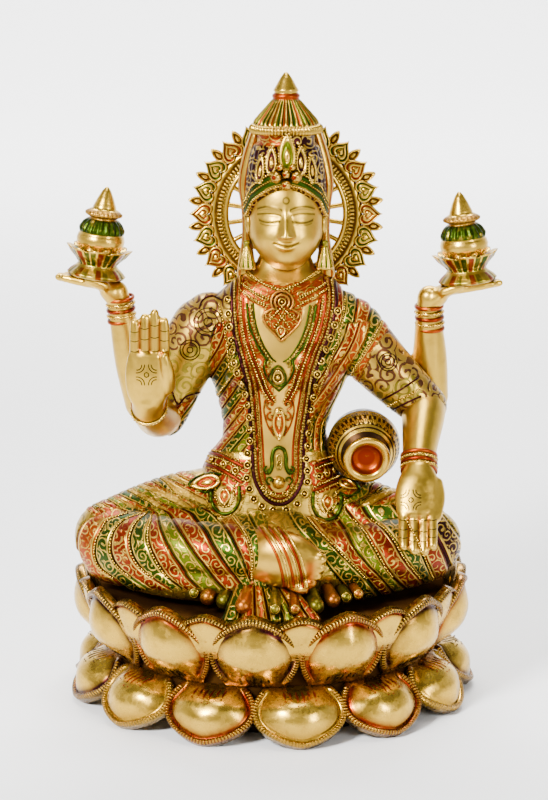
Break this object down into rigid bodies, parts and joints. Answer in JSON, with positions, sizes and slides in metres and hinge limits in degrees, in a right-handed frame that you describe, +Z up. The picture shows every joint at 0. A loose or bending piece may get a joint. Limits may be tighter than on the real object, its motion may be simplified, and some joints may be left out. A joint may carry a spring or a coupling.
{
  "type": "seated deity statue",
  "caption": "Cast brass statue of a seated, many-armed goddess on a round double lotus, with a wheel halo, a tall crown and lidded pots in the raised hands.",
  "frame": {"origin": "centre of the lotus base's underside, on the surface it stands on", "axes": "+Z up, the figure faces -Y, +X is to the figure's left (the viewer's right)"},
  "size_m": [0.255, 0.2362, 0.361],
  "materials": {
    "polished_brass": "polished, with red and dark lacquer in the engraved lines",
    "lacquered_brass": "polished brass, engraved and filled with worn red, green and dark lacquer",
    "gilt_brass": "polished, with red and green lacquer in the petals"
  },
  "bodies": {
    "root": {"lotus_base": "polished_brass", "lakshmi_figure": "lacquered_brass", "halo": "gilt_brass"}
  },
  "joints": []
}
